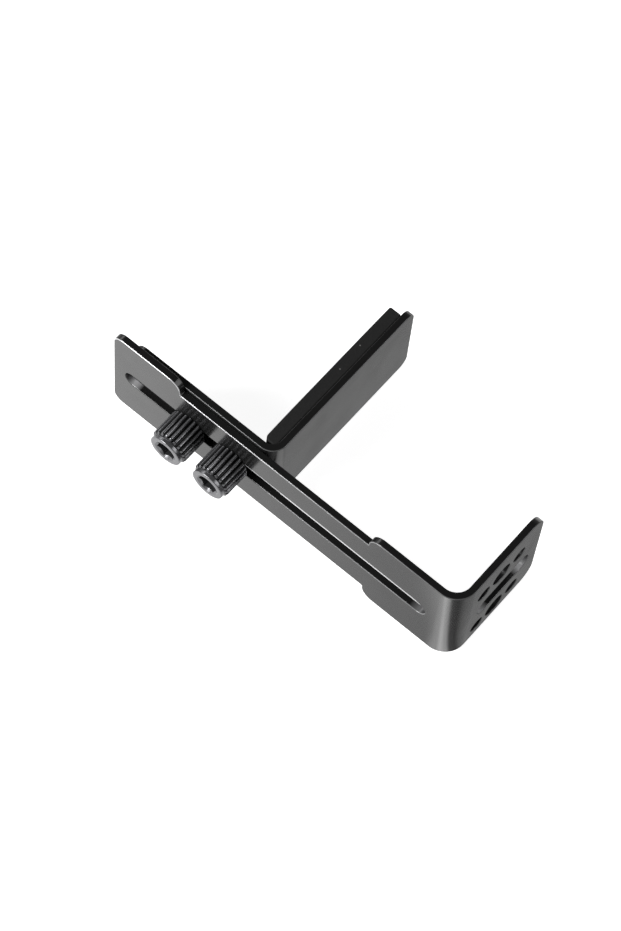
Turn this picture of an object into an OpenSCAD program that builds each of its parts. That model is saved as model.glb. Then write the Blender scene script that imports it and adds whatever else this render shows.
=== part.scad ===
// Graphics card support bracket: two right-angle sheet brackets, one sliding on the other,
// clamped through a long slot by two knurled thumb screws.
// The bracket lies on the long edges of its sheets. X runs along the long leg to the foot,
// Y runs from the thumb screws towards the tips of the foot and the arm, Z runs across the sheets.
// The origin is the centre of the foot's hole pattern, on the foot's mounting face.

/* [Sheet] */
// Thickness of both sheets
sheet_t = 2.3; // [1.5:0.1:2.5]

/* [Mount bracket] */
// Length from the free end to the foot's mounting face
mount_l = 128; // [120:1:140]
// Width of the leg's paddles and of the foot
mount_w = 39.5; // [36:0.5:42]
// Width of the leg between its paddles
waist_w = 29; // [26:0.2:31]
// Distance from the free end to the start of the waist
waist_start = 25.1; // [18:0.1:30]
// Length of the waist
waist_l = 70.2; // [50:0.1:80]
// Radius of the paddles' corners at the waist
step_r = 4.2; // [2:0.1:5]
// Radius at the root of each step
step_root_r = 0.5; // [0.2:0.1:0.6]
// Radius of the corners at the free end
mount_end_r = 3.5; // [2:0.1:8]
// Inner radius of the bend
mount_bend_r = 5; // [3:0.1:7]
// Depth of the foot, from the leg's front face to the foot's tip
foot_d = 38.2; // [36:0.1:45]
// Radius of the corners at the foot's tip
foot_end_r = 5.5; // [1:0.1:8]

/* [Adjusting slot] */
// Width of the slot
slot_w = 6; // [5.2:0.1:6.6]
// Distance from the free end to the slot
slot_start = 4.4; // [3:0.1:5]
// Length of the slot, over its round ends
slot_l = 112.8; // [110:0.1:114]

/* [Foot holes] */
// Diameter of the four outer holes
hole_d = 5.3; // [3:0.1:6]
// Diameter of the two middle holes
mid_hole_d = 7.7; // [5:0.1:8]
// Distance between the outer holes of one row
hole_pitch = 16; // [14.5:0.1:17]
// Distance between the two rows
row_pitch = 22.8; // [20:0.1:24]
// Width of the central slot
foot_slot_w = 8; // [5:0.1:9]
// Length of the central slot, over its round ends
foot_slot_l = 23.4; // [12:0.1:24]
// Distance from the leg's front face to the middle of the central slot
foot_slot_depth = 22.4; // [20:0.1:24]
// Distance from the leg's front face to the centre of the pattern
hole_depth = 20.1; // [19.5:0.1:21.5]
// Distance from the middle of the foot's width down to the centre of the pattern
hole_drop = 2.3; // [0:0.1:2.5]
// Least metal left between a hole and an edge, before the pattern shrinks or shifts
hole_margin = 1.5; // [1:0.1:3]

/* [Support bracket] */
// Width of the support bracket
support_w = 32.2; // [29:0.2:34]
// Length of the leg, from its free end to the arm's outer face
support_l = 53.1; // [45:0.1:58]
// Depth of the arm, from the leg's front face to the arm's tip
arm_d = 62.7; // [50:0.1:80]
// Inner radius of the bend
support_bend_r = 3; // [2:0.1:6]
// Radius of the four corners
support_end_r = 3.5; // [1:0.1:6]

/* [Height] */
// Height of the pad's bearing face above the foot's inner face
rest_height = 73.7; // [20:0.1:95]

/* [Pad] */
// Thickness of the pad
pad_t = 4.3; // [2:0.1:6]
// Distance from the pad's end to the arm's tip
pad_margin = 3.5; // [0:0.1:8]
// Distance from the support leg's back face to the pad
pad_gap = 0.8; // [0.2:0.1:3]
// Radius of the pad's outer edge beside the bend
pad_edge_r = 1.6; // [0.4:0.1:1.9]

/* [Thumb screws] */
// Diameter of the threaded shank
screw_d = 5; // [4:0.1:5]
// Length of the shank under the grip
shank_l = 8; // [7.5:0.1:12]
// Distance between the two screws
screw_pitch = 16; // [13.5:0.1:20]
// Distance from the arm's outer face to the nearer screw
screw_to_arm = 13.4; // [11:0.1:16]
// Diameter of the grip over its ribs
grip_d = 12.4; // [11.5:0.1:13.4]
// Length of the grip
grip_l = 9.5; // [7:0.1:12]
// Number of ribs around the grip
rib_count = 22; // [16:1:30]
// Radius of the groove between two ribs
groove_r = 0.5; // [0.3:0.05:0.6]
// Depth of the groove between two ribs
groove_depth = 0.45; // [0.2:0.05:0.5]
// Chamfer at the front end of the grip
grip_chamfer = 0.8; // [0.3:0.1:1]
// Chamfer at the grip's seat
seat_chamfer = 0.3; // [0.1:0.1:0.6]
// Diameter of the smooth nose
nose_d = 11; // [9:0.1:11]
// Length of the smooth nose
nose_l = 1.3; // [0.8:0.1:3]
// Radius of the nose's edge
nose_edge_r = 0.5; // [0.2:0.1:0.7]
// Width across the flats of the hexagon socket
hex_w = 6; // [4:0.1:6.5]
// Depth of the hexagon socket
hex_depth = 5.2; // [4.5:0.1:7]
// Width of the chamfer round the socket's mouth
hex_lead = 0.25; // [0.1:0.05:0.5]

/* [Clinch nuts] */
// Diameter of the flange behind the sheet
nut_d = 8.7; // [8:0.1:10]
// Height of the flange
nut_h = 2.7; // [2:0.1:4]
// Diameter of the spigot pressed into the sheet
nut_spigot_d = 6.4; // [6.2:0.1:7]
// Length of the spigot
nut_spigot_l = 1.4; // [0.8:0.1:1.5]

/* [Hidden] */
$fn = 96;
// Gap between sliding faces: the two sheets, and a sheet and a screw's seat
slide_gap = 0.05;
// Radial clearance of a shank in its nut
thread_gap = 0.05;
// Overrun of every cut past the face it starts from
over = 1;

// The hole pattern and the slot between its rows, held inside the flat of the foot
row_gap = min(row_pitch, mount_w - mid_hole_d - 2 * (hole_drop + hole_margin));
pattern_depth = min(hole_depth, foot_d - hole_margin - (hole_pitch + hole_d) / 2);
flat_start = mount_bend_r + sheet_t;
foot_slot = min(foot_slot_l, foot_d - flat_start - 2 * hole_margin);
slot_wide = min(foot_slot_w, row_gap - mid_hole_d - 2 * hole_margin);
slot_middle = max(flat_start + hole_margin + foot_slot / 2,
                  min(foot_slot_depth, foot_d - hole_margin - foot_slot / 2));

mid_z = hole_drop;
front_y = -pattern_depth;
support_y = front_y + sheet_t + slide_gap;
support_back_y = support_y + sheet_t;
arm_x = pad_t - rest_height;
arm_inner_x = arm_x - sheet_t;
arm_tip_y = support_y + arm_d;
// Hexagons are drawn by their corners
hex_d = hex_w / cos(30);
// Depth of the drill's cone under the socket, as a share of the socket's width
drill_tip_share = 0.3;
// Chamfer at the shank's tip, as a share of its diameter
tip_chamfer_share = 0.1;

function screw_x(i) = arm_x - screw_to_arm - i * screw_pitch;

// The waste outside a rounded corner that stands at the origin and opens to +X and +Y
module corner_waste(r) {
    difference() {
        translate([-over, -over]) square([r + over, r + over]);
        translate([r, r]) circle(r);
    }
}

// The waste of both corners of a plate whose end stands on the Y axis, centred on it
module end_waste(w, r) {
    for (side = [0, 1]) mirror([0, side]) translate([0, -w / 2]) corner_waste(r);
}

// A slot with round ends, along X from the origin
module slot_outline(l, w) {
    translate([w / 2, 0]) circle(d = w);
    translate([w / 2, -w / 2]) square([l - w, w]);
    translate([l - w / 2, 0]) circle(d = w);
}

// Section of a sheet bent by a right angle: the leg's front face lies on the X axis and ends
// in the arm's outer face on the Y axis
module bend_section(leg_l, arm_l, r) {
    r_out = r + sheet_t;
    translate([-leg_l, 0]) square([leg_l - r_out, sheet_t]);
    translate([-sheet_t, r_out]) square([sheet_t, arm_l - r_out]);
    translate([-r_out, r_out]) intersection() {
        difference() {
            circle(r_out);
            circle(r);
        }
        translate([0, -r_out]) square(r_out);
    }
}

// A bent sheet of width w, centred on Z = 0, with round corners at the ends of leg and arm
module bent_sheet(leg_l, arm_l, w, r, leg_r, arm_r) {
    difference() {
        translate([0, 0, -w / 2]) linear_extrude(w) bend_section(leg_l, arm_l, r);
        translate([-leg_l, sheet_t + over, 0]) rotate([90, 0, 0])
            linear_extrude(sheet_t + 2 * over) end_waste(w, leg_r);
        translate([-sheet_t - over, arm_l, 0]) rotate([90, 0, 90])
            linear_extrude(sheet_t + 2 * over) mirror([1, 0]) end_waste(w, arm_r);
    }
}

// The fillet left in an inner corner at the origin
module corner_fillet(r) {
    difference() {
        square(r);
        translate([r, r]) circle(r);
    }
}

// The waste outside a rounded corner, held to the side of its own plate
module corner_waste_flank(r) {
    intersection() {
        corner_waste(r);
        translate([0, -over]) square([r, r + over]);
    }
}

// The notch that narrows the leg on one side: its floor lies on the X axis
module waist_notch() {
    step_h = (mount_w - waist_w) / 2;
    difference() {
        square([waist_l, step_h + over]);
        corner_fillet(step_root_r);
        translate([waist_l, 0]) mirror([1, 0]) corner_fillet(step_root_r);
    }
    translate([0, step_h]) mirror([0, 1]) mirror([1, 0]) corner_waste_flank(step_r);
    translate([waist_l, step_h]) mirror([0, 1]) corner_waste_flank(step_r);
}

module mount_bracket() {
    color([0.16, 0.16, 0.17]) difference() {
        translate([0, front_y, mid_z]) difference() {
            bent_sheet(mount_l, foot_d, mount_w, mount_bend_r, mount_end_r, foot_end_r);
            for (side = [0, 1]) mirror([0, 0, side])
                translate([waist_start - mount_l, sheet_t + over, waist_w / 2]) rotate([90, 0, 0])
                    linear_extrude(sheet_t + 2 * over) waist_notch();
            translate([slot_start - mount_l, sheet_t + over, 0]) rotate([90, 0, 0])
                linear_extrude(sheet_t + 2 * over) slot_outline(slot_l, slot_w);
        }
        translate([-sheet_t - over, 0, 0]) rotate([90, 0, 90])
            linear_extrude(sheet_t + 2 * over) foot_holes();
    }
}

// The foot's holes seen from its mounting face, with Y to the right and Z up
module foot_holes() {
    for (row = [-1, 1]) translate([0, row * row_gap / 2]) {
        circle(d = mid_hole_d);
        for (side = [-1, 1]) translate([side * hole_pitch / 2, 0]) circle(d = hole_d);
    }
    translate([slot_middle - pattern_depth - foot_slot / 2, 0]) slot_outline(foot_slot, slot_wide);
}

module support_bracket() {
    color([0.16, 0.16, 0.17]) difference() {
        translate([arm_x, support_y, mid_z])
            bent_sheet(support_l, arm_d, support_w, support_bend_r, support_end_r, support_end_r);
        for (i = [0, 1]) translate([screw_x(i), support_back_y + over, mid_z]) rotate([90, 0, 0])
            cylinder(d = nut_spigot_d, h = sheet_t + 2 * over);
    }
}

// The pad's end is cut to lie in the bend, and its outer edge there is round
module pad() {
    bend_y = support_back_y + support_bend_r;
    start_y = support_back_y + pad_gap;
    color([0.12, 0.12, 0.12]) translate([0, 0, mid_z - support_w / 2]) linear_extrude(support_w)
        difference() {
            translate([arm_inner_x - pad_t, start_y])
                square([pad_t, arm_tip_y - pad_margin - start_y]);
            translate([arm_inner_x - pad_t, start_y]) corner_waste(pad_edge_r);
            difference() {
                translate([arm_inner_x - support_bend_r, start_y - over])
                    square([support_bend_r + over, bend_y - start_y + over]);
                translate([arm_inner_x - support_bend_r, bend_y]) circle(support_bend_r);
            }
        }
}

// Cross-section of the ribbed grip
module grip_outline() {
    difference() {
        circle(d = grip_d);
        for (i = [0 : rib_count - 1]) rotate(i * 360 / rib_count)
            translate([grip_d / 2 - groove_depth + groove_r, 0]) circle(groove_r, $fn = 32);
    }
}

// Half section that the grip is turned to, with a chamfer at each end
module grip_section() {
    r = grip_d / 2;
    polygon([[0, 0], [r - seat_chamfer, 0], [r, seat_chamfer], [r, grip_l - grip_chamfer],
             [r - grip_chamfer, grip_l], [0, grip_l]]);
}

// Half section of the smooth nose in front of the grip
module nose_section() {
    r = nose_d / 2;
    top = grip_l + nose_l;
    translate([0, grip_l - grip_chamfer]) square([r, nose_l + grip_chamfer - nose_edge_r]);
    translate([0, top - nose_edge_r]) square([r - nose_edge_r, nose_edge_r]);
    translate([r - nose_edge_r, top - nose_edge_r]) intersection() {
        circle(nose_edge_r, $fn = 32);
        square(nose_edge_r);
    }
}

// Half section of the threaded shank, below the grip
module shank_section() {
    r = screw_d / 2;
    tip = screw_d * tip_chamfer_share;
    polygon([[0, 0], [r, 0], [r, tip - shank_l], [r - tip, -shank_l], [0, -shank_l]]);
}

// A thumb screw stands on the origin, with its grip and nose towards +Z
module thumb_screw() {
    top = grip_l + nose_l;
    floor_z = top - hex_depth;
    drill_h = hex_w * drill_tip_share;
    difference() {
        union() {
            intersection() {
                linear_extrude(grip_l) grip_outline();
                rotate_extrude() grip_section();
            }
            rotate_extrude() nose_section();
            rotate_extrude() shank_section();
        }
        translate([0, 0, floor_z]) cylinder(d = hex_d, h = hex_depth + over, $fn = 6);
        translate([0, 0, floor_z - drill_h]) cylinder(r1 = 0, r2 = hex_w / 2, h = drill_h);
        translate([0, 0, top - hex_lead]) cylinder(d1 = hex_d, d2 = hex_d + 2 * hex_lead, h = hex_lead);
    }
}

module placed_screw(i) {
    color([0.13, 0.13, 0.14]) translate([screw_x(i), front_y - slide_gap, mid_z])
        rotate([90, 0, 0]) thumb_screw();
}

module clinch_nut(i) {
    color([0.55, 0.55, 0.57]) translate([screw_x(i), support_back_y, mid_z]) rotate([-90, 0, 0])
        difference() {
            union() {
                cylinder(d = nut_d, h = nut_h);
                translate([0, 0, -nut_spigot_l]) cylinder(d = nut_spigot_d, h = nut_spigot_l);
            }
            translate([0, 0, -nut_spigot_l - over])
                cylinder(d = screw_d + 2 * thread_gap, h = nut_h + nut_spigot_l + 2 * over);
        }
}

mount_bracket();
support_bracket();
pad();
placed_screw(0);  // thumb_screw_1
placed_screw(1);  // thumb_screw_2
clinch_nut(0);  // clinch_nut_1
clinch_nut(1);  // clinch_nut_2
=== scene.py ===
"""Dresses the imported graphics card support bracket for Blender.

Both bent sheets, the foam pad, the two thumb screws and the two clinch nuts are rebuilt over the
fixed CAD frame with rounded edges, threads and finishes. Lengths in the classes are millimetres
in the frame of the part; make_piece turns them to metres.
"""

import logging
import math
from dataclasses import dataclass
from enum import Enum

import bpy
import numpy as np
from mathutils import Matrix, Vector
from mathutils.geometry import delaunay_2d_cdt


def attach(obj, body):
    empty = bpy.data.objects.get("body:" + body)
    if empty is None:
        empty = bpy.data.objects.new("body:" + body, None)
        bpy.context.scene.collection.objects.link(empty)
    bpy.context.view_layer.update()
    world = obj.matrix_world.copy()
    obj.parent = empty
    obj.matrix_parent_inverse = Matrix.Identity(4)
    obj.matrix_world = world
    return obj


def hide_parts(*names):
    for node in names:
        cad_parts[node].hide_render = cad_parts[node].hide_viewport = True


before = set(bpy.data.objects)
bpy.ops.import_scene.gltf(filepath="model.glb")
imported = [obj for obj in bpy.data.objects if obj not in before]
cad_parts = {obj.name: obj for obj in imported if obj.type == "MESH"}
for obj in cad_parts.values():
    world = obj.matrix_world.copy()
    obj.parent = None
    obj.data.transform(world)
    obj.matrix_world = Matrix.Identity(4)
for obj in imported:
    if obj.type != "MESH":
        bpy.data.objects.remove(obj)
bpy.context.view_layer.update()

logging.basicConfig(level=logging.INFO, format="%(message)s")
log = logging.getLogger("support_bracket")

Material, Piece = bpy.types.Material, bpy.types.Object
Tree, Socket = bpy.types.NodeTree, bpy.types.NodeSocket
Array, Pair, Triple = np.ndarray, tuple[float, float], tuple[float, float, float]
join = np.concatenate

MM = 0.001
FULL_TURN = 2 * math.pi
QUARTER_TURN = math.pi / 2
# Millimetres: points this close are one point, and surfaces this close are one surface
SAME_POINT = 1e-5
SAME_FACE = 0.01
# Above this angle between faces, an edge without given normals is shaded as sharp
SHARP = math.radians(32)
# Sockets of Blender's node that mixes two colours, by number
MIX_FIRST, MIX_SECOND, MIX_RESULT = 6, 7, 2
# Range in which most of a noise texture's values lie
NOISE_CORE = (0.3, 0.7)


def linear(hex_colour: str) -> tuple[float, float, float, float]:
    """Turns an sRGB hex colour into linear red, green and blue and an alpha of 1."""
    digits = hex_colour.lstrip("#")
    srgb = np.array([int(digits[i:i + 2], 16) for i in (0, 2, 4)]) / 255
    lin = np.where(srgb <= 0.04045, srgb / 12.92, ((srgb + 0.055) / 1.055) ** 2.4)
    return (*lin.tolist(), 1.0)


def smooth_step(t: Array) -> Array:
    """Goes from 0 to 1 with no kink, as 3t^2 - 2t^3 between 0 and 1."""
    t = np.clip(t, 0, 1)
    return t * t * (3 - 2 * t)


def add_node(tree: Tree, kind: str, settings: dict | None = None,
             links: dict | None = None) -> bpy.types.Node:
    """Adds a node to a tree, sets it up and links its inputs.

    Args:
        tree: The node tree that gets the node.
        kind: Blender's type name of the node, without ShaderNode in front.
        settings: Values by an input's name or number, or else by the name of a node's setting.
        links: The socket that feeds each input, by the input's name or number.

    Returns:
        The new node.
    """
    node = tree.nodes.new("ShaderNode" + kind)
    for name, value in (settings or {}).items():
        if isinstance(name, int) or name in node.inputs:
            node.inputs[name].default_value = value
        else:
            setattr(node, name, value)
    for name, socket in (links or {}).items():
        tree.links.new(socket, node.inputs[name])
    return node


def fresh_material(name: str) -> tuple[Material, Tree, Socket]:
    """Makes an empty node material and returns it with its tree and the object coordinates."""
    material = bpy.data.materials.new(name)
    material.use_nodes = True
    tree = material.node_tree
    tree.nodes.clear()
    return material, tree, add_node(tree, "TexCoord").outputs["Object"]


# The next functions add a node to the tree of the socket that they are given

def noise(place: Socket, size_mm: float, detail: float) -> Socket:
    """Adds a noise texture with lumps of this size and returns its value."""
    return add_node(place.id_data, "TexNoise", {"Scale": 1 / (size_mm * MM), "Detail": detail},
                    {"Vector": place}).outputs["Fac"]


def cells(place: Socket, size_mm: float) -> Socket:
    """Adds a cell texture with cells of this size and returns the distance to their middles."""
    return add_node(place.id_data, "TexVoronoi", {"Scale": 1 / (size_mm * MM)},
                    {"Vector": place}).outputs["Distance"]


def mapped(value: Socket, source: Pair, target: Pair) -> Socket:
    """Maps one range of a value to another, held at both ends, and returns the result."""
    ends = dict(zip(("From Min", "From Max", "To Min", "To Max"), (*source, *target)))
    return add_node(value.id_data, "MapRange", ends, {"Value": value}).outputs["Result"]


def combined(first: Socket, second: Socket | float, operation: str = "MULTIPLY") -> Socket:
    """Combines a value with a second one or with a number, and returns the result."""
    settings, links = {"operation": operation}, {0: first}
    (settings if isinstance(second, float) else links)[1] = second
    return add_node(first.id_data, "Math", settings, links).outputs[0]


def blended(share: Socket, first: Socket | str, second: str) -> Socket:
    """Mixes a colour, a hex one or a socket, with a share of a second hex one, and returns it."""
    settings, links = {"data_type": "RGBA", MIX_SECOND: linear(second)}, {"Factor": share}
    if isinstance(first, str):
        settings[MIX_FIRST] = linear(first)
    else:
        links[MIX_FIRST] = first
    return add_node(share.id_data, "Mix", settings, links).outputs[MIX_RESULT]


def bumped(height: Socket, bump: Pair, below: Socket | None = None) -> Socket:
    """Turns a height into normals, by a strength and a depth in mm, on top of those below."""
    strength, depth_mm = bump
    links = {"Height": height} if below is None else {"Height": height, "Normal": below}
    return add_node(height.id_data, "Bump", {"Strength": strength, "Distance": depth_mm * MM},
                    links).outputs["Normal"]


def add_surface(tree: Tree, settings: dict, links: dict) -> None:
    """Adds the surface shader with its settings and links, and the material's output."""
    shader = add_node(tree, "BsdfPrincipled", settings, links).outputs["BSDF"]
    add_node(tree, "OutputMaterial", None, {"Surface": shader})


@dataclass(frozen=True)
class CoatedSteel:
    """Cold-rolled steel, electro-coated black: a thin semi-gloss skin.

    To the eye it is a deep neutral black that turns mid grey where it mirrors a pale room at a
    low angle. The skin has a faint orange peel and fine grit. On the rounded edges its colour is
    painted pale and partly metal, as a painted highlight.
    """

    name: str = "coated_steel_electrocoat_black"
    colour: str = "#191919"
    # Pale, partly metal colour painted on the rounded edges: a painted highlight, patchy by the
    # cloud
    highlight_colour: str = "#e4e4e6"
    highlight_metal: float = 0.5
    highlight_cover: Pair = (0.85, 1.0)
    ior: float = 1.52
    roughness: Pair = (0.16, 0.25)
    cloud_mm: float = 9.0
    peel_mm: float = 1.1
    peel_bump: Pair = (0.12, 0.02)
    # The grit of the baked coat is drawn about twice as coarse as the real one, to show
    grit_mm: float = 0.3
    grit_bump: Pair = (0.05, 0.008)

    def make(self) -> Material:
        """Builds the material and returns it."""
        material, tree, place = fresh_material(self.name)
        cloud = noise(place, self.cloud_mm, 3.0)
        # The edge mark of the mesh says where the painted highlight goes
        painted_highlight = add_node(tree, "Attribute", {"attribute_name": "edge"}).outputs["Fac"]
        patchy = mapped(cloud, (0.35, 0.65), self.highlight_cover)
        lit_edge = combined(painted_highlight, patchy)
        waves = bumped(noise(place, self.peel_mm, 1.0), self.peel_bump)
        grit = bumped(noise(place, self.grit_mm, 2.0), self.grit_bump, waves)
        add_surface(tree, {"IOR": self.ior},
                    {"Base Color": blended(lit_edge, self.colour, self.highlight_colour),
                     "Roughness": mapped(cloud, NOISE_CORE, self.roughness),
                     "Metallic": combined(lit_edge, self.highlight_metal), "Normal": grit})
        return material


@dataclass(frozen=True)
class BlackOxideSteel:
    """Turned and knurled steel with a black oxide finish.

    To the eye it is a dark grey metal whose crests and turned rings catch the lamps in narrow
    lines. Its colour is painted pale on the crests of ribs and thread, as a painted highlight,
    and near black in their roots and in the socket, as painted shade.
    """

    name: str = "turned_steel_black_oxide"
    # Colour of the crests, pale as a painted highlight; the roots' colour is painted shade
    colour: str = "#98989b"
    root_shade_colour: str = "#0e0e0f"
    metallic: float = 0.75
    roughness: Pair = (0.19, 0.26)
    grain_mm: float = 0.35
    grain_bump: Pair = (0.05, 0.01)

    def make(self) -> Material:
        """Builds the material and returns it."""
        material, tree, place = fresh_material(self.name)
        grain = noise(place, self.grain_mm, 3.0)
        # The crest mark mixes from painted shade to painted highlight
        crest = add_node(tree, "Attribute", {"attribute_name": "crest"}).outputs["Fac"]
        add_surface(tree, {"Metallic": self.metallic},
                    {"Base Color": blended(crest, self.root_shade_colour, self.colour),
                     "Roughness": mapped(grain, NOISE_CORE, self.roughness),
                     "Normal": bumped(grain, self.grain_bump)})
        return material


@dataclass(frozen=True)
class FoamRubber:
    """Closed-cell rubber foam, cut from sheet.

    To the eye it is a dull, nearly black skin of fine cells, with a few pale specks of dust.
    """

    name: str = "closed_cell_foam_cut"
    colour: str = "#0e0e0e"
    cell_colour: str = "#1b1b1b"
    speck_colour: str = "#6a6a68"
    ior: float = 1.45
    roughness: float = 0.85
    cell_mm: float = 0.45
    cell_bump: Pair = (0.6, 0.08)
    # Distance between specks, and the share of it over which a speck fades out
    speck_mm: float = 3.2
    speck_edge: Pair = (0.05, 0.09)

    def make(self) -> Material:
        """Builds the material and returns it."""
        material, tree, place = fresh_material(self.name)
        cell = cells(place, self.cell_mm)
        speck = mapped(cells(place, self.speck_mm), self.speck_edge, (1.0, 0.0))
        base = blended(cell, self.colour, self.cell_colour)
        add_surface(tree, {"Roughness": self.roughness, "IOR": self.ior},
                    {"Base Color": blended(speck, base, self.speck_colour),
                     "Normal": bumped(cell, self.cell_bump)})
        return material


@dataclass(frozen=True)
class ZincPlatedSteel:
    """Turned steel, zinc plated: pale blue-grey metal with faint, slightly cloudy gloss."""

    name: str = "turned_steel_zinc_plated"
    colour: str = "#b4b8bc"
    roughness: Pair = (0.2, 0.4)
    cloud_mm: float = 1.5
    cloud_bump: Pair = (0.2, 0.02)

    def make(self) -> Material:
        """Builds the material and returns it."""
        material, tree, place = fresh_material(self.name)
        cloud = noise(place, self.cloud_mm, 4.0)
        add_surface(tree, {"Metallic": 1.0, "Base Color": linear(self.colour)},
                    {"Roughness": mapped(cloud, (0.0, 1.0), self.roughness),
                     "Normal": bumped(cloud, self.cloud_bump)})
        return material


class Finish(Enum):
    """The finishes of the bracket, each with the record's slot that it stands for."""

    SHEET = ("black_coated_steel", CoatedSteel())
    SCREW = ("black_screw_steel", BlackOxideSteel())
    PAD = ("pad_rubber", FoamRubber())
    NUT = ("plated_nut_steel", ZincPlatedSteel())

    def material(self) -> Material:
        """Returns this finish's material, made on first use."""
        recipe = self.value[1]
        return bpy.data.materials.get(recipe.name) or recipe.make()


def add_object(name: str, data: bpy.types.ID) -> Piece:
    """Puts a mesh, a lamp or a camera into a new object of the scene and returns the object."""
    thing = bpy.data.objects.new(name, data)
    bpy.context.scene.collection.objects.link(thing)
    return thing


def make_piece(name: str, points: Array, faces: list, finish: Finish, body: str, node: str,
               normals: Array | None = None, marks: dict[str, Array] | None = None) -> Piece:
    """Makes a mesh object that replaces a CAD node and rides on its body.

    Args:
        name: The piece's name.
        points: Places of the vertices in millimetres.
        faces: Vertex numbers of each face, counter-clockwise from outside.
        finish: What the piece is made of.
        body: The CAD body that it moves with.
        node: The CAD node that it stands for.
        normals: The surface's true directions at the vertices, where known.
        marks: A number per vertex for the finish to read, by attribute name.

    Returns:
        The new object.
    """
    mesh = bpy.data.meshes.new(name)
    mesh.from_pydata((points * MM).tolist(), [], faces)
    mesh.validate()
    mesh.shade_smooth()
    for mark, values in (marks or {}).items():
        attribute = mesh.attributes.new(mark, "FLOAT", "POINT")
        attribute.data.foreach_set("value", values.astype(np.float32).ravel())
    if normals is None:
        mesh.set_sharp_from_angle(angle=SHARP)
    else:
        mesh.normals_split_custom_set_from_vertices(normals.tolist())
    piece = add_object(name, mesh)
    piece.data.materials.append(finish.material())
    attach(piece, body)
    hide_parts(node)
    log.info("%s: %d points, %d faces, stands for %s", name, len(mesh.vertices),
             len(mesh.polygons), node)
    return piece


@dataclass(frozen=True)
class Outline:
    """A closed line in the flat with the metal on its left, and the way out of the metal."""

    points: Array
    normals: Array

    @staticmethod
    def rounded(corners: list[Triple], steps: int = 12) -> "Outline":
        """Rounds the corners of a polygon.

        At each corner the line turns on a circle that touches both sides: the centre lies on
        the bisector, and each point is the centre plus the radius along the turning direction.

        Args:
            corners: Place and radius of each corner, with the metal on the left.
            steps: Points on a quarter turn.

        Returns:
            The rounded line.
        """
        spots = np.array([c[:2] for c in corners], float)
        to_next = np.roll(spots, -1, 0) - spots
        heading = to_next / np.linalg.norm(to_next, axis=1)[:, None]
        points, normals = [], []
        for i, (_, _, radius) in enumerate(corners):
            before, after = heading[i - 1], heading[i]
            turn = math.atan2(before[0] * after[1] - before[1] * after[0], before @ after)
            way = 1.0 if turn > 0 else -1.0
            left = np.array([-before[1], before[0]])
            start = spots[i] - before * radius * math.tan(abs(turn) / 2)
            centre = start + way * radius * left
            count = max(2, round(steps * abs(turn) / QUARTER_TURN) + 1)
            angle = math.atan2(before[1], before[0]) + np.linspace(0, turn, count)
            out = np.stack([np.sin(angle), -np.cos(angle)], -1)
            points.append(centre + way * radius * out)
            normals.append(out)
        points, normals = join(points), join(normals)
        apart = np.linalg.norm(points - np.roll(points, 1, 0), axis=1) > SAME_POINT
        return Outline(points[apart], normals[apart])

    def cut_at(self, places: Array, axis: int = 0) -> "Outline":
        """Adds a point wherever the line crosses one of the given places on an axis."""
        here, there = self.points, np.roll(self.points, -1, 0)
        low = np.minimum(here[:, axis], there[:, axis])[:, None] + SAME_POINT / 10
        high = np.maximum(here[:, axis], there[:, axis])[:, None] - SAME_POINT / 10
        side, cut = np.nonzero((places[None] > low) & (places[None] < high))
        share = (places[cut] - here[side, axis]) / (there[side, axis] - here[side, axis])
        new = here[side] + share[:, None] * (there[side] - here[side])
        order = np.argsort(join([np.arange(len(here)), side + share]))
        return Outline(join([here, new])[order], join([self.normals, self.normals[side]])[order])


def slot_outline(x: float, y: float, length: float, width: float) -> Outline:
    """A hole with round ends, from its centre, its length over the ends and its width."""
    a, r = length / 2, width / 2
    return Outline.rounded([(x - a, y - r, r), (x - a, y + r, r),
                            (x + a, y + r, r), (x + a, y - r, r)], steps=16)


def quads(rings: int, around: int) -> Array:
    """Vertex numbers of the quads between each of so many closed rings of points and the next."""
    i, j = np.meshgrid(np.arange(rings) * around, np.arange(around), indexing="ij")
    k = (j + 1) % around
    return np.stack([i + j, i + k, i + k + around, i + j + around], -1).reshape(-1, 4)


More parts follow.
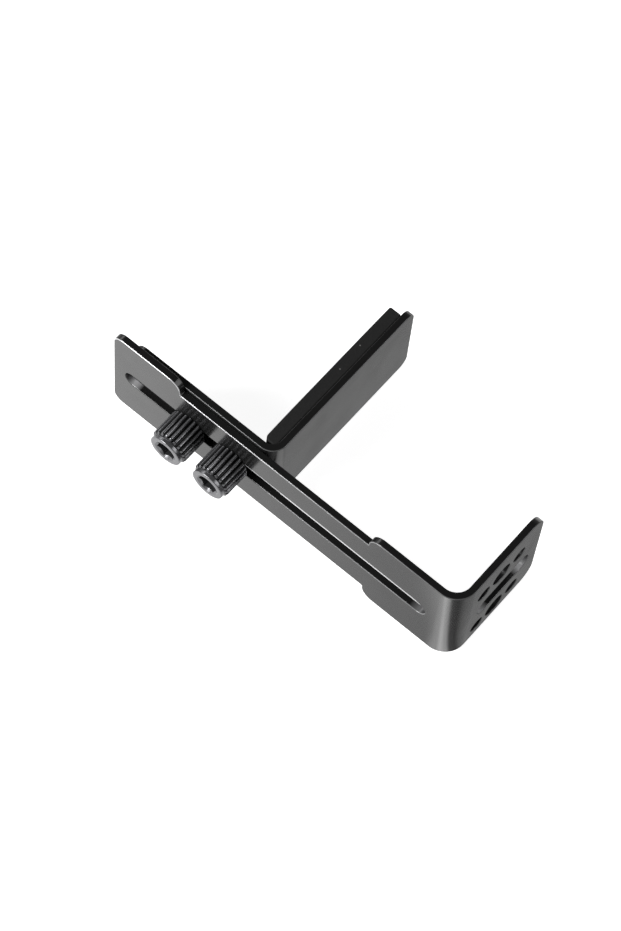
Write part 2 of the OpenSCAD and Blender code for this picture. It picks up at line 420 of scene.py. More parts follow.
@dataclass(frozen=True)
class Slab:
    """A plate of any outline whose rim is a flat wall between two rounded edges."""

    thickness: float
    edge: float
    edge_steps: int = 5
    wall_steps: int = 1
    # Widths of the bands on the faces beside the rounded edge, widest first
    band: tuple = ()

    def rim(self) -> tuple[Array, Array, Array, Array]:
        """Works out the rim's profile, from the front face to the back face.

        A narrow band lies on the face, a quarter circle turns from it to the wall, a straight
        wall follows, and a second quarter circle turns into the back face and its band.

        Returns:
            Inset from the outline, depth below the front face, and the normal's share out of
            the outline and into the depth.
        """
        a = np.linspace(0, QUARTER_TURN, self.edge_steps)
        wall = np.linspace(self.edge, self.thickness - self.edge, self.wall_steps + 1)[1:-1]
        flat = np.zeros(len(self.band))
        inset = join([self.edge + np.array(self.band), self.edge * (1 - np.sin(a))])
        depth = join([flat, self.edge * (1 - np.cos(a))])
        out = join([flat, np.sin(a)])
        inward = join([flat - 1, -np.cos(a)])
        still = np.zeros_like(wall)
        return (join([inset, still, inset[::-1]]),
                join([depth, wall, self.thickness - depth[::-1]]),
                join([out, still + 1, out[::-1]]), join([inward, still, -inward[::-1]]))

    def build(self, outlines: list[Outline],
              places: Array | None = None) -> tuple[Array, Array, Array, list, Array]:
        """Carries the rim round every outline and closes both faces.

        Args:
            outlines: The outer line and the holes.
            places: First coordinates at which both faces are creased, for a bend.

        Returns:
            Flat places, depths, normals (along, across, inwards), faces, and insets.
        """
        inset, depth, out, inward = self.rim()
        rows = len(inset)
        flat, deep, turn, faces, rings, start = [], [], [], [], [], 0
        for line in outlines:
            count = len(line.points)
            flat.append((line.points - inset[:, None, None] * line.normals).reshape(-1, 2))
            deep.append(np.repeat(depth, count))
            inwards = np.broadcast_to(inward[:, None, None], (rows, count, 1))
            turn.append(join([out[:, None, None] * line.normals, inwards], -1).reshape(-1, 3))
            # The rim is carried inwards, so its quads turn the other way
            faces += (start + quads(rows - 1, count)[:, [0, 3, 2, 1]]).tolist()
            rings.append(start + np.arange(count))
            start += rows * count
        flat, deep, turn = join(flat), join(deep), join(turn)
        front = self._fill(flat, rings, places)
        last = [r + (rows - 1) * len(r) for r in rings]
        back = self._fill(flat, last, places)[:, ::-1]
        far = join([np.repeat(inset, len(line.points)) for line in outlines])
        return flat, deep, turn, faces + front.tolist() + back.tolist(), far

    @staticmethod
    def _fill(flat: Array, rings: list[Array], places: Array | None) -> Array:
        """Fills the region inside the first ring and outside the others with triangles.

        Args:
            flat: All flat places.
            rings: Vertex numbers along each ring.
            places: First coordinates of the creases.

        Returns:
            Vertex numbers of the triangles, counter-clockwise.
        """
        numbers = join(rings)
        spots = flat[numbers]
        sizes = [len(r) for r in rings]
        starts = np.cumsum([0, *sizes[:-1]])
        edges = join([s + np.stack([np.arange(n), (np.arange(n) + 1) % n], -1)
                      for s, n in zip(starts, sizes)])
        for place in [] if places is None else places:
            pair = np.nonzero(np.abs(spots[:sizes[0], 0] - place) < SAME_POINT)[0]
            edges = join([edges, pair[None]])
        made = delaunay_2d_cdt(spots.tolist(), edges.tolist(), [], 0, SAME_POINT / 10, False)
        kept, triangles = made[0], np.array(made[2])
        if len(kept) != len(spots):
            raise ValueError("the outlines touch or cross")
        # A triangle is metal if a ray from its middle crosses the rings an odd number of times
        x, y = spots[triangles].mean(1).T[:, :, None]
        a, b = spots[edges[:sum(sizes)]].transpose(1, 2, 0)
        rise = np.where(b[1] == a[1], 1.0, b[1] - a[1])
        met = ((a[1] > y) != (b[1] > y)) & (x < (b[0] - a[0]) * (y - a[1]) / rise + a[0])
        return numbers[triangles[met.sum(1) % 2 == 1]]


@dataclass(frozen=True)
class BentSheet:
    """A sheet bent by a right angle, made from its flat pattern.

    The first flat coordinate runs along the leg, round the bend and along the arm; the second
    runs across. On the leg it is the distance from the arm's outer face.
    """

    name: str
    node: str
    body: str
    leg: float
    arm: float
    width: float
    bend_radius: float
    leg_corner: float
    arm_corner: float
    corner: Triple
    thickness: float = 2.3
    edge: float = 0.28
    band: Pair = (0.43, 0.37)
    bend_steps: int = 24
    # Share of painted highlight on the rounded front edges
    highlight_share: float = 0.12

    @property
    def outer(self) -> float:
        """Radius of the outside of the bend."""
        return self.bend_radius + self.thickness

    @property
    def middle(self) -> float:
        """Radius of the sheet's middle in the bend."""
        return self.bend_radius + self.thickness / 2

    def along_arm(self, height: float) -> float:
        """Flat place of a point of the arm at this height over the leg's front face."""
        return self.middle * QUARTER_TURN - 2 * self.outer + height

    def creases(self) -> Array:
        """Flat places of the lines across the bend."""
        return np.linspace(-self.outer, self.middle * QUARTER_TURN - self.outer,
                           self.bend_steps + 1)

    def outer_line(self) -> Outline:
        """The sheet's outer line: a rectangle with rounded corners."""
        half, end = self.width / 2, self.along_arm(self.arm)
        return Outline.rounded([(-self.leg, -half, self.leg_corner), (end, -half, self.arm_corner),
                                (end, half, self.arm_corner), (-self.leg, half, self.leg_corner)])

    def holes(self) -> list[Outline]:
        """The sheet's holes, none here."""
        return []

    def fold(self, flat: Array, depth: Array, turn: Array) -> tuple[Array, Array]:
        """Bends the flat pattern into its place in the part.

        Up to the bend the point keeps its place. In the bend it turns about the bend's centre
        by its distance past the start over the middle radius. Past it, it rises straight.

        Args:
            flat: Places along and across.
            depth: Depths below the front face.
            turn: Directions along, across and inwards.

        Returns:
            Places and directions in the part's frame.
        """
        past = flat[:, 0] + self.outer
        angle = np.clip(past / self.middle, 0, QUARTER_TURN)
        sin, cos = np.sin(angle), np.cos(angle)
        radius = self.outer - depth
        x = np.minimum(past, 0) - self.outer + radius * sin
        y = self.outer - radius * cos + np.maximum(past - self.middle * QUARTER_TURN, 0)
        points = np.stack([x, y, flat[:, 1]], -1) + self.corner
        normals = np.stack([turn[:, 0] * cos - turn[:, 2] * sin,
                            turn[:, 0] * sin + turn[:, 2] * cos, turn[:, 1]], -1)
        return points, normals

    def painted_highlight(self, points: Array, depth: Array, turn: Array, inset: Array) -> Array:
        """Share of painted highlight, from 0 to 1: on the rounded front edges alone."""
        return self.highlight_share * self.rounded(depth, turn)

    def rounded(self, depth: Array, turn: Array) -> Array:
        """Which points lie on a rounded edge of the front, as 1 or 0."""
        slanted = np.hypot(turn[:, 0], turn[:, 1]) * np.abs(turn[:, 2]) > SAME_FACE
        return np.where(slanted & (depth < self.thickness / 2), 1.0, 0.0)

    def build(self) -> Piece:
        """Builds the dressed sheet and returns it."""
        creases = self.creases()
        slab = Slab(self.thickness, self.edge, band=self.band)
        lines = [self.outer_line().cut_at(creases), *self.holes()]
        flat, depth, turn, faces, inset = slab.build(lines, creases)
        points, normals = self.fold(flat, depth, turn)
        return make_piece(self.name, points, faces, Finish.SHEET, self.body, self.node, normals,
                          {"edge": self.painted_highlight(points, depth, turn, inset)})


@dataclass(frozen=True)
class MountBracket(BentSheet):
    """The long slotted leg with its waist, and the foot with its seven openings."""

    waist_width: float = 29.0
    waist_start: float = 25.1
    waist_length: float = 70.2
    step_radius: float = 4.2
    root_radius: float = 0.5
    slot_start: float = 4.4
    slot_length: float = 112.8
    slot_width: float = 6.0
    hole_depth: float = 20.1
    hole_pitch: float = 16.0
    row_pitch: float = 22.8
    hole: float = 5.3
    middle_hole: float = 7.7
    foot_slot_length: float = 23.4
    foot_slot_width: float = 8.0
    foot_slot_depth: float = 22.4
    hole_drop: float = 2.3
    # Places at which the slots' lines get points, so that the painted highlight can vary along them
    leg_cuts: int = 81
    foot_cuts: int = 17
    # Start and length of the painted highlight's smooth steps on the leg: off the free end, off to
    # the foot and on along the slot; then how far from the slot's end its painted bright line stops
    tip_step: Pair = (-112.0, 25.0)
    foot_step: Pair = (-34.0, 30.0)
    slot_step: Pair = (-92.0, 30.0)
    line_stop: float = 2.6
    line_fade: float = 1.2
    # Painted highlight on the leg's long edges, on the slot's lower edge and on the foot's holes
    leg_highlight: float = 0.34
    slot_highlight: float = 0.3
    hole_highlight: float = 0.15
    # Half the height of the foot's field of holes, and its distance from the foot's tip
    field: float = 17.0
    field_margin: float = 1.0
    # Distance of the brightest painted patch from a slot's end, and the patch's share at the far
    # end: painted reflections on the slots' end walls
    end_light_distance: float = 2.8
    far_end_light: float = 0.25

    def outer_line(self) -> Outline:
        """The leg's two paddles, the waist between them and the foot."""
        half, end, low = self.width / 2, self.along_arm(self.arm), self.waist_width / 2
        left = self.waist_start - self.leg
        right = left + self.waist_length
        lower = [(-self.leg, half, self.leg_corner), (left, half, self.step_radius),
                 (left, low, self.root_radius), (right, low, self.root_radius),
                 (right, half, self.step_radius), (end, half, self.arm_corner)]
        return Outline.rounded([(x, -y, r) for x, y, r in lower] + lower[::-1])

    def holes(self) -> list[Outline]:
        """The adjusting slot, and the foot's slot and round holes."""
        start = self.slot_start - self.leg
        leg_slot = slot_outline(start + self.slot_length / 2, 0, self.slot_length, self.slot_width)
        on_leg = start + np.linspace(0, self.slot_length, self.leg_cuts)
        middle = self.along_arm(self.foot_slot_depth)
        foot_slot = slot_outline(middle, -self.hole_drop, self.foot_slot_length,
                                 self.foot_slot_width)
        on_foot = middle + np.linspace(-0.5, 0.5, self.foot_cuts) * self.foot_slot_length
        centre = self.along_arm(self.hole_depth)
        rounds = [(centre + step * self.hole_pitch / 2, row * self.row_pitch / 2 - self.hole_drop,
                   self.hole if step else self.middle_hole)
                  for row in (-1, 1) for step in (-1, 0, 1)]
        return [leg_slot.cut_at(on_leg), foot_slot.cut_at(on_foot),
                *(slot_outline(x, y, d, d) for x, y, d in rounds)]

    def painted_highlight(self, points: Array, depth: Array, turn: Array, inset: Array) -> Array:
        """Share of painted highlight, from 0 to 1.

        On the outer edges it falls off in two smooth steps from the free end to the foot. Along
        the leg's slot it grows, as a painted bright line on its upper edge. Both slots' walls get
        painted bright patches near the ends, as painted reflections.

        Args:
            points: Places in the part's frame.
            depth: Depths below the front face.
            turn: Directions along, across and inwards.
            inset: Distances from the outline.

        Returns:
            One number per point.
        """
        x, y, z = points.T - np.array(self.corner)[:, None]
        rounded = self.rounded(depth, turn)
        off_tip, off_foot, on_slot = (smooth_step((x - start) / length) for start, length in
                                      (self.tip_step, self.foot_step, self.slot_step))
        highlight_share = rounded * (1 - (1 - self.leg_highlight) * off_tip
                          - (self.leg_highlight - self.highlight_share) * off_foot)
        # The leg's slot
        # The slot's upper edge gets a painted highlight line that stops short of the far end
        face = inset < self.edge + self.band[0] - SAME_FACE
        upper = face & (depth < self.thickness / 2) & (z > 0) & (turn[:, 2] < -0.5)
        in_slot = (np.abs(z) < self.slot_width) & (x < -self.outer)
        along = x - self.slot_start + self.leg
        stop = smooth_step((self.slot_length - self.line_stop - along) / self.line_fade)
        line = on_slot * np.where(upper, stop, self.slot_highlight * rounded)
        highlight_share = np.where(in_slot, line, highlight_share)
        # The foot's slot and holes
        on_field = ((x > -self.thickness - SAME_FACE) & (y > self.outer)
                    & (y < self.arm - self.field_margin) & (np.abs(z) < self.field))
        highlight_share = np.where(on_field, self.hole_highlight * rounded, highlight_share)
        near_slot = np.abs(z + self.hole_drop) < self.foot_slot_width / 2 + SAME_FACE
        # The walls near both slots' ends, which get painted bright patches as painted reflections
        to_end = np.where(in_slot, np.minimum(along, self.slot_length - along), np.inf)
        on_foot = self.foot_slot_length / 2 - np.abs(y - self.foot_slot_depth)
        to_end = np.where(on_field & near_slot, on_foot, to_end)
        wall = np.abs(turn[:, 2]) < 0.5
        end_light = wall * np.clip(1 - np.abs(to_end - self.end_light_distance) / self.end_light_distance, 0, 1)
        far = in_slot & (along > self.slot_length / 2)
        return np.maximum(highlight_share, end_light * np.where(far, self.far_end_light, 1.0))


@dataclass(frozen=True)
class SupportBracket(BentSheet):
    """The shorter bracket behind it, with the arm and the two holes for the clinch nuts."""

    screw_places: Pair = (-13.4, -29.4)
    nut_hole: float = 6.4

    def holes(self) -> list[Outline]:
        """The holes that the nuts' spigots fill."""
        return [slot_outline(x, 0, self.nut_hole, self.nut_hole) for x in self.screw_places]


@dataclass(frozen=True)
class Pad:
    """The foam pad glued on the arm: cut from sheet, with one outer edge rounded by the bend."""

    face: float = -76.0
    glued: float = -71.7
    near: float = -14.65
    tip: float = 41.45
    bend_centre: float = -12.45
    bend_radius: float = 3.0
    top: float = 18.4
    width: float = 32.2
    crown: float = 0.22
    # Radii of the section's corners and of the edges across; the heel's is a share of the bend's
    near_corner: float = 1.6
    tip_corner: float = 0.6
    glued_corner: float = 0.5
    heel_share: float = 0.8
    edge: float = 0.45

    def section(self) -> Outline:
        """Section of the pad: soft cut edges, and an arc that follows the inside of the bend."""
        sweep = math.asin((self.bend_centre - self.near) / self.bend_radius)
        heel = self.glued - self.bend_radius * (1 - math.cos(sweep))
        knee = self.bend_centre - self.bend_radius * math.tan(sweep / 2)
        return Outline.rounded([
            (self.face, self.near, self.near_corner), (heel, self.near, self.glued_corner),
            (self.glued, knee, self.heel_share * self.bend_radius),
            (self.glued, self.tip, self.glued_corner), (self.face, self.tip, self.tip_corner)],
            steps=10)

    def build(self) -> Piece:
        """Builds the pad and returns it.

        The section is carried across the arm's width. Each point then sinks towards the arm by
        the crown's depth times half the sum of the fourth powers of its shares along and across.
        """
        slab = Slab(self.width, self.edge, edge_steps=6, wall_steps=14)
        steps = np.linspace(self.near, self.tip, 30)[2:-2]
        flat, depth, turn, faces, _ = slab.build([self.section().cut_at(steps, 1)])
        centre, half = (self.near + self.tip) / 2, (self.tip - self.near) / 2
        along = (flat[:, 1] - centre) / half
        across = depth / self.width * 2 - 1
        rise = np.clip((self.glued - flat[:, 0]) / (self.glued - self.face), 0, 1)
        sink = self.crown * rise * np.clip((along ** 4 + across ** 4) / 2, 0, 1)
        points = np.stack([flat[:, 0] + sink, flat[:, 1], self.top - depth], -1)
        piece = make_piece("arm_pad", points, faces, Finish.PAD, "support", "pad",
                           np.stack([turn[:, 0], turn[:, 1], -turn[:, 2]], -1))
        return piece


def closed_grid(rings: int, around: int) -> list:
    """Faces of a closed surface of rings of points, whose two poles are the last two points."""
    j = np.arange(around)
    k, top, first = (j + 1) % around, (rings - 1) * around, rings * around
    start = np.stack([k, j, np.full_like(j, first)], -1)
    end = np.stack([top + j, top + k, np.full_like(j, first + 1)], -1)
    return quads(rings - 1, around).tolist() + start.tolist() + end.tolist()


@dataclass(frozen=True)
class ThumbScrew:
    """A thumb screw: threaded shank, ribbed grip, smooth nose and a hexagon socket.

    Its heights run from the shank's tip to the nose, with 0 at the seat.
    """

    name: str
    node: str
    body: str
    x: float
    seat_y: float = -20.15
    mid_z: float = 2.3
    start_angle: float = 0.0
    shank: float = 8.0
    shank_rings: int = 90
    screw: float = 5.0
    core: float = 4.0
    tip_chamfer: float = 0.5
    pitch: float = 0.8
    # Depth of the thread, width of its crest and of its flanks, as shares of the pitch
    thread_form: Triple = (0.61, 0.15, 0.65)
    # Where the thread starts to run out below the seat, and over what length
    runout: Pair = (0.4, 0.5)
    grip: float = 12.4
    grip_length: float = 9.5
    grip_rings: int = 8
    ribs: int = 22
    rib_steps: int = 15
    groove: float = 0.5
    # Width of a rib's crest and of its flanks, as shares of half a rib's pitch
    rib_form: Pair = (0.14, 0.62)
    nose: float = 11.0
    nose_length: float = 1.3
    nose_edge: float = 0.25
    socket: float = 6.0
    socket_depth: float = 5.2
    # Radii on the seat's face, then the turned back edge, bevel and neck, as height over the
    # seat and distance inside the full radius
    seat: Pair = (2.3, 5.3)
    back_edge: tuple = ((0.0, 0.35), (0.05, 0.22), (0.15, 0.08), (0.3, 0.0))
    bevel: tuple = ((8.62, 0.02), (8.75, 0.08), (8.9, 0.2), (9.05, 0.38), (9.2, 0.56), (9.3, 0.7))
    neck: tuple = ((9.34, 0.16), (9.42, 0.18), (9.5, 0.14), (9.56, 0.05), (9.64, 0.0))
    # The nose's face round the socket, as radius and depth
    mouth: tuple = ((4.6, 0.0), (4.2, 0.0), (3.84, 0.0), (3.78, 0.015), (3.74, 0.05))
    # The socket's foot over its floor, and the drilled end's radii and depths down to its point
    socket_foot: float = 0.1
    drill: tuple = ((2.98, 0.01), (1.5, 0.8), (0.0, 1.7))
    # Painted brightness of the nose, the grip's bevel and the socket, from shade 0 to highlight 1
    nose_light: float = 0.62
    bevel_light: float = 0.4
    socket_light: float = 0.3

    def thread(self, z: Array, angle: Array) -> Array:
        """Radius of the thread.

        The flank is a sawtooth of height over the phase z divided by the pitch, less the
        angle's share of a turn, clipped flat at crest and root, and cut by the cone at the tip.
        """
        depth, crest, slope = self.thread_form
        phase = (z / self.pitch - angle / FULL_TURN) % 1.0
        flank = np.clip((np.abs(phase - 0.5) * 2 - crest) / slope, 0, 1)
        start, length = self.runout
        fade = np.clip((-start - z) / length, 0, 1)
        cut = np.where(fade < 1, 1 - fade * (1 - flank), flank)
        cone = self.screw / 2 - self.tip_chamfer + (z + self.shank)
        return np.minimum(self.screw / 2 - depth * self.pitch * cut, cone)

    def rib(self, angle: Array) -> Array:
        """How deep the grip is cut at an angle, from 0 on a rib's crest to 1 in a groove's root.

        It is a smooth step of the distance from the crest's middle, as a share of half a pitch.
        """
        crest, slope = self.rib_form
        off = np.abs((angle * self.ribs / FULL_TURN) % 1.0 - 0.5) * 2
        return smooth_step((1 - off - crest) / slope)

    def hexagon(self, angle: Array) -> Array:
        """Radius of the hexagon: half the width over flats, over the cosine to the nearest flat."""
        sixth = FULL_TURN / 6
        return self.socket / 2 / np.cos((angle % sixth) - sixth / 2)

    def surface(self) -> tuple[Array, Array, Array]:
        """Works out the screw's surface as rings of points, from the shank's tip to the socket.

        Returns:
            Radius and height of each point, ring by ring, and how bright its metal is painted: 0 in
            the roots of ribs and thread, as painted shade, 1 on their crests, as painted highlight.
        """
        angle = np.linspace(0, FULL_TURN, self.ribs * self.rib_steps, endpoint=False)
        grip, nose, top = self.grip / 2, self.nose / 2, self.grip_length + self.nose_length
        ones = np.ones_like(angle)
        shank_z = np.linspace(-self.shank, -0.02, self.shank_rings)[:, None] * ones
        shank_r = self.thread(shank_z, angle[None])
        rib = self.rib(angle)[None]
        blank = np.array([[0.0, r] for r in self.seat] + [[z, grip - d] for z, d in self.back_edge]
                         + [[z, grip] for z in np.linspace(0.8, 8.4, self.grip_rings)]
                         + [[z, grip - d] for z, d in self.bevel])
        grip_z = blank[:, :1] * ones
        grip_r = np.minimum(blank[:, 1:], grip - self.groove * rib)
        neck = np.array([[z, nose - d] for z, d in self.neck])
        bow = np.linspace(0, QUARTER_TURN, 8)[:, None]
        mouth = np.array([[r, top - d] for r, d in self.mouth])
        nose_r = join([neck[:, 1:], nose - self.nose_edge * (1 - np.cos(bow)), mouth[:, :1]]) * ones
        nose_z = join([neck[:, :1], top - self.nose_edge * (1 - np.sin(bow)), mouth[:, 1:]]) * ones
        hexagon = self.hexagon(angle)[None]
        lead_z = mouth[-1, 1] - (mouth[-1, 0] - hexagon)
        floor = top - self.socket_depth
        (wide, wide_depth), (narrow, narrow_depth), _ = self.drill
        socket_r = join([hexagon] * 4 + [np.minimum(hexagon, wide), narrow * ones[None]])
        below = np.array([[-self.socket_foot], [0.0], [wide_depth], [narrow_depth]])
        socket_z = join([lead_z, lead_z - 0.3, (floor - below) * ones])
        # Painted highlight on the crests and painted shade in the roots, dimmer on the bevel
        on_grip = np.where(grip_z >= self.bevel[0][0], self.bevel_light, 1.0) * (1 - rib)
        bright = join([(shank_r * 2 - self.core) / (self.screw - self.core), on_grip,
                       self.nose_light + 0 * join([nose_r, lead_z]),
                       self.socket_light + 0 * socket_z[1:]])
        return (join([shank_r, grip_r, nose_r, socket_r]),
                join([shank_z, grip_z, nose_z, socket_z]), np.clip(bright, 0, 1))

    def build(self) -> Piece:
        """Builds the screw in its place, nose towards the front, and returns it."""
        radius, height, bright = self.surface()
        rings, around = radius.shape
        angle = np.linspace(0, FULL_TURN, around, endpoint=False)[None] + self.start_angle
        own = np.stack([radius * np.cos(angle), radius * np.sin(angle), height], -1)
        point = self.grip_length + self.nose_length - self.socket_depth - self.drill[-1][1]
        own = join([own.reshape(-1, 3), [[0, 0, -self.shank], [0, 0, point]]])
        points = np.stack([self.x + own[:, 0], self.seat_y - own[:, 2], self.mid_z + own[:, 1]], -1)
        crest = join([bright.ravel(), [1, self.socket_light]])
        return make_piece(self.name, points, closed_grid(rings, around), Finish.SCREW, self.body,
                          self.node, None, {"crest": crest})


@dataclass(frozen=True)
class ClinchNut:
    """A round threaded nut, pressed into the support bracket from behind."""

    name: str
    node: str
    x: float
    back_y: float = -15.45
    mid_z: float = 2.3
    flange: float = 8.7
    height: float = 2.7
    spigot: float = 6.4
    spigot_length: float = 1.4
    bore: float = 5.1
    around: int = 96
    edge: float = 0.4
    spigot_edge: float = 0.15
    # Profile of the face round the bore: radius and depth
    face: tuple = ((3.4, 0.0), (3.32, 0.04), (2.95, 0.04), (2.9, 0.06), (2.55, 0.41))

    def profile(self) -> Array:
        """Radius and height of the turned section, from the bore's spigot end to its mouth."""
        flange, bore, spigot = self.flange / 2, self.bore / 2, self.spigot / 2
        bow = np.linspace(0, QUARTER_TURN, 6)
        corner = np.stack([flange - self.edge + self.edge * np.cos(bow),
                           self.height - self.edge + self.edge * np.sin(bow)], -1)
        end = -self.spigot_length
        foot = [[bore, end], [spigot - self.spigot_edge, end], [spigot, end + self.spigot_edge],
                [spigot, 0], [flange, 0], [flange, 0.05]]
        return join([foot, corner, [[r, self.height - d] for r, d in self.face]])

    def build(self) -> Piece:
        """Turns the section about the axis, which is the nut's one formula, and returns the nut."""
        section = self.profile()
        angle = np.linspace(0, FULL_TURN, self.around, endpoint=False)[None]
        r, h = section[:, :1], section[:, 1:] + 0 * angle
        points = np.stack([self.x + r * np.cos(angle), self.back_y + h,
                           self.mid_z - r * np.sin(angle)], -1)
        # The remainder leads the last ring's quads back to the first ring
        faces = (quads(len(section), self.around) % (len(section) * self.around)).tolist()
        return make_piece(self.name, points.reshape(-1, 3), faces, Finish.NUT, "support", self.node)


@dataclass(frozen=True)
class SoftLight:
    """A rectangular studio lamp that looks at the bracket."""

    name: str
    place: Triple
    target: Triple
    size: Pair
    power: float

    def build(self) -> None:
        """Adds the lamp, turned to its target."""
        data = bpy.data.lights.new(self.name, "AREA")
        data.shape = "RECTANGLE"
        data.size, data.size_y = self.size
        data.energy = self.power
        lamp = add_object(self.name, data)
        lamp.location = self.place
        away = Vector(self.place) - Vector(self.target)
        lamp.rotation_euler = away.to_track_quat("Z", "Y").to_euler()


@dataclass(frozen=True)
class Studio:
    """A pale floor under a pale room, soft lamps and the camera."""

    # The camera, fitted to the bracket's edges in the photograph
    camera_mm: Triple = (157.520, -338.012, 860.544)
    camera_rows: tuple = ((0.76274391, 0.64463286, 0.05167398),
                          (-0.60264024, 0.67951591, 0.41842905),
                          (0.23461982, -0.35029503, 0.90677833))
    focal_px: float = 3288.02
    picture_px: float = 931
    sensor: float = 36.0
    floor_z: float = -17.45
    floor_half: float = 2.5
    floor_colour: str = "#ededed"
    lift: float = 0.86
    # Brightness of the mirrored floor at the leg's free end and at the foot, and their places
    mirrored: Pair = (1.3, 0.62)
    mirrored_x: Pair = (-0.14, 0.0)
    # Pools of light round the bend: degrees from the front to the right, and brightness
    pools: tuple = ((-180, 2.2), (-164, 1.6), (-145, 0.55), (-97, 0.55), (-88, 1.0), (-25, 1.0),
                    (8, 2.4), (20, 4.0), (33, 2.8), (48, 0.45), (64, 0.32), (84, 0.68),
                    (98, 0.72), (122, 0.62), (166, 0.62), (180, 2.2))
    brightest: float = 4.0
    bend_mm: Pair = (-7.3, -12.8)
    # The pools lean: distances from the bend's centre, and degrees there; then the distances
    # and degrees over which the lean fades out
    lean_mm: Pair = (7.3, 25.4)
    lean: Pair = (8.5, -15.0)
    lean_end_mm: Pair = (30.0, 60.0)
    lean_end: Pair = (45.0, 75.0)
    walls: float = 0.35
    ceiling: float = 0.04

    def pool_light(self, tree: Tree, place: Socket) -> Socket:
        """Works out the brightness of the pools, up to 1, and returns its socket.

        A radial gradient about the bend's centre gives the turn, the distance gives the lean,
        and a colour ramp turns their sum into brightness.
        """
        x, y = self.bend_mm
        turned = add_node(tree, "Mapping",
                          {"Location": (y * MM, -x * MM, 0), "Rotation": (0, 0, QUARTER_TURN),
                           "Scale": (1, 1, 0)}, {"Vector": place}).outputs["Vector"]
        turn = add_node(tree, "TexGradient", {"gradient_type": "RADIAL"},
                        {"Vector": turned}).outputs["Fac"]
        away = add_node(tree, "VectorMath", {"operation": "LENGTH"}, {0: turned}).outputs["Value"]
        near, far = self.lean_mm
        lean = mapped(away, (near * MM, far * MM), (-self.lean[0] / 360, -self.lean[1] / 360))
        start, end = self.lean_end_mm
        by_distance = mapped(away, (start * MM, end * MM), (1.0, 0.0))
        start, end = self.lean_end
        by_turn = mapped(turn, (0.5 + start / 360, 0.5 + end / 360), (1.0, 0.0))
        lean = combined(combined(lean, by_distance), by_turn)
        ramp = add_node(tree, "ValToRGB", None, {"Fac": combined(lean, turn, "ADD")})
        ramp.color_ramp.interpolation = "EASE"
        stops = ramp.color_ramp.elements
        for degrees, _ in self.pools[1:-1]:
            stops.new(degrees / 360 + 0.5)
        for stop, (degrees, level) in zip(stops, self.pools):
            stop.position = degrees / 360 + 0.5
            stop.color = (*[level / self.brightest] * 3, 1)
        return ramp.outputs["Color"]

    def floor(self) -> None:
        """Lays a diffuse floor, which keeps the shadow, and lifts it to white where it is seen.

        What the glossy coat mirrors of it falls off towards the foot and has pools of light and
        shade round the bend, as by lamps close to the floor.
        """
        material, tree, place = fresh_material("studio_floor")
        path = add_node(tree, "LightPath").outputs
        along = add_node(tree, "SeparateXYZ", None, {0: place}).outputs["X"]
        slope = mapped(along, self.mirrored_x, self.mirrored)
        level = combined(slope, self.pool_light(tree, place))
        level = combined(level, self.brightest)
        mirrored = add_node(tree, "Emission", None, {"Strength": level})
        seen = combined(path["Is Camera Ray"], path["Is Transmission Ray"], "MAXIMUM")
        glow = add_node(tree, "Emission", None, {"Strength": combined(seen, self.lift)})
        paint = add_node(tree, "BsdfDiffuse", {"Color": linear(self.floor_colour)})
        lifted = add_node(tree, "AddShader", None,
                          {0: paint.outputs["BSDF"], 1: glow.outputs["Emission"]})
        both = add_node(tree, "MixShader", None,
                        {0: path["Is Glossy Ray"], 1: lifted.outputs["Shader"],
                         2: mirrored.outputs["Emission"]})
        add_node(tree, "OutputMaterial", None, {"Surface": both.outputs["Shader"]})
        material.cycles.emission_sampling = "NONE"
        half, z = self.floor_half, self.floor_z * MM
        mesh = bpy.data.meshes.new("studio_floor")
        mesh.from_pydata([(-half, -half, z), (half, -half, z), (half, half, z), (-half, half, z)],
                         [], [(0, 1, 2, 3)])
        floor = add_object("studio_floor", mesh)
        floor.data.materials.append(material)

    def room(self) -> None:
        """Sets a room with pale walls and a dark ceiling, white where the camera sees it."""
        world = bpy.data.worlds.new("studio_room")
        world.use_nodes = True
        tree = world.node_tree
        tree.nodes.clear()
        path = add_node(tree, "LightPath").outputs
        way = add_node(tree, "TexCoord").outputs["Generated"]
        height = add_node(tree, "SeparateXYZ", None, {0: way}).outputs["Z"]
        walls = mapped(height, (0.1, 0.7), (self.walls, self.ceiling))
        sky = add_node(tree, "Background", {"Color": (1, 1, 1, 1)},
                       {"Strength": combined(walls, path["Is Camera Ray"], "MAXIMUM")})
        add_node(tree, "OutputWorld", None, {"Surface": sky.outputs["Background"]})
        bpy.context.scene.world = world

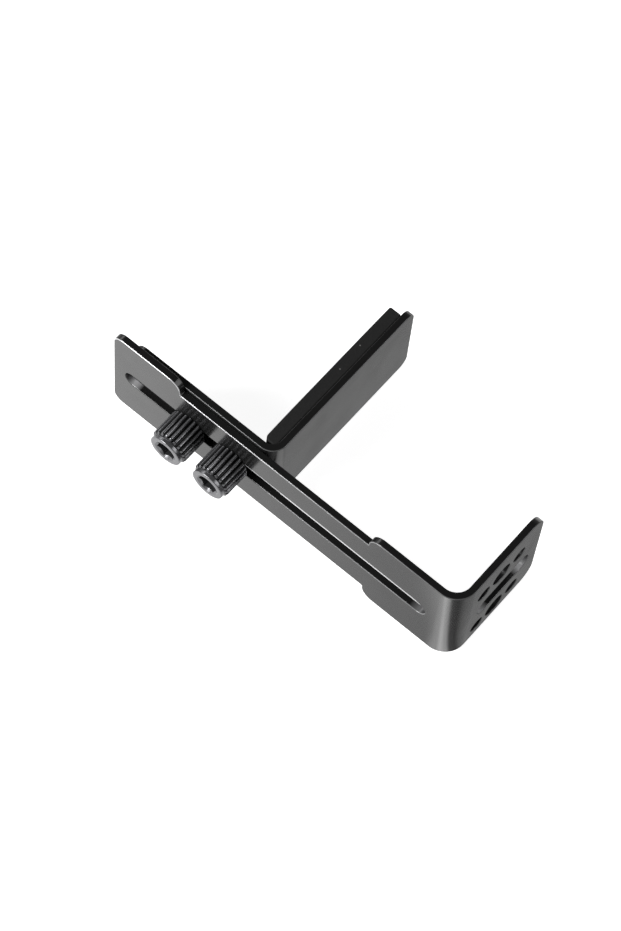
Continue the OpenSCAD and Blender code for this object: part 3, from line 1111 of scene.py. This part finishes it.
    def camera(self) -> None:
        """Sets the camera where the photograph was taken from."""
        data = bpy.data.cameras.new("photo_camera")
        data.sensor_width = self.sensor
        data.lens = self.focal_px / self.picture_px * self.sensor
        data.clip_start, data.clip_end = 0.05, 20.0
        camera = add_object("photo_camera", data)
        turn = Matrix(self.camera_rows).transposed().to_4x4()
        camera.matrix_world = Matrix.Translation(Vector(self.camera_mm) * MM) @ turn
        bpy.context.scene.camera = camera

    def build(self) -> None:
        """Builds the studio."""
        self.floor()
        self.room()
        self.camera()
        for lamp in (
            SoftLight("front_softbox", (-0.64, -0.85, 0.62), (-0.08, 0.0, 0.0), (0.6, 0.7), 18.0),
            SoftLight("right_softbox", (0.62, 0.3, 0.48), (-0.06, 0.0, 0.0), (0.3, 0.65), 1.5),
            SoftLight("left_softbox", (-0.9, 0.3, 0.5), (-0.06, 0.0, 0.0), (0.35, 0.35), 0.8),
        ):
            lamp.build()
        bpy.context.scene.view_settings.view_transform = "Standard"


class SupportAssembly:
    """The whole bracket, built piece by piece from the front to the back."""

    def __init__(self) -> None:
        """Sets the sizes and places of all pieces."""
        self.mount = MountBracket(
            "slotted_mount_sheet", "mount_bracket", "mount", leg=128, arm=38.2, width=39.5,
            bend_radius=5, leg_corner=3.5, arm_corner=5.5, corner=(0, -20.1, 2.3))
        self.support = SupportBracket(
            "padded_arm_sheet", "support_bracket", "support", leg=53.1, arm=62.7, width=32.2,
            bend_radius=3, leg_corner=3.5, arm_corner=3.5, corner=(-69.4, -17.75, 2.3))
        self.pad = Pad()
        self.screws = [
            ThumbScrew("ribbed_thumb_screw_1", "thumb_screw_1", "screw_1", -82.8, start_angle=0.1),
            ThumbScrew("ribbed_thumb_screw_2", "thumb_screw_2", "screw_2", -98.8, start_angle=0.35)]
        self.nuts = [ClinchNut("pressed_nut_1", "clinch_nut_1", -82.8),
                     ClinchNut("pressed_nut_2", "clinch_nut_2", -98.8)]

    def build(self) -> None:
        """Builds every piece in order."""
        for piece in (self.mount, self.support, self.pad, *self.screws, *self.nuts):
            piece.build()


def main() -> None:
    """Builds the bracket and the studio."""
    SupportAssembly().build()
    Studio().build()


if __name__ == "__main__":
    main()
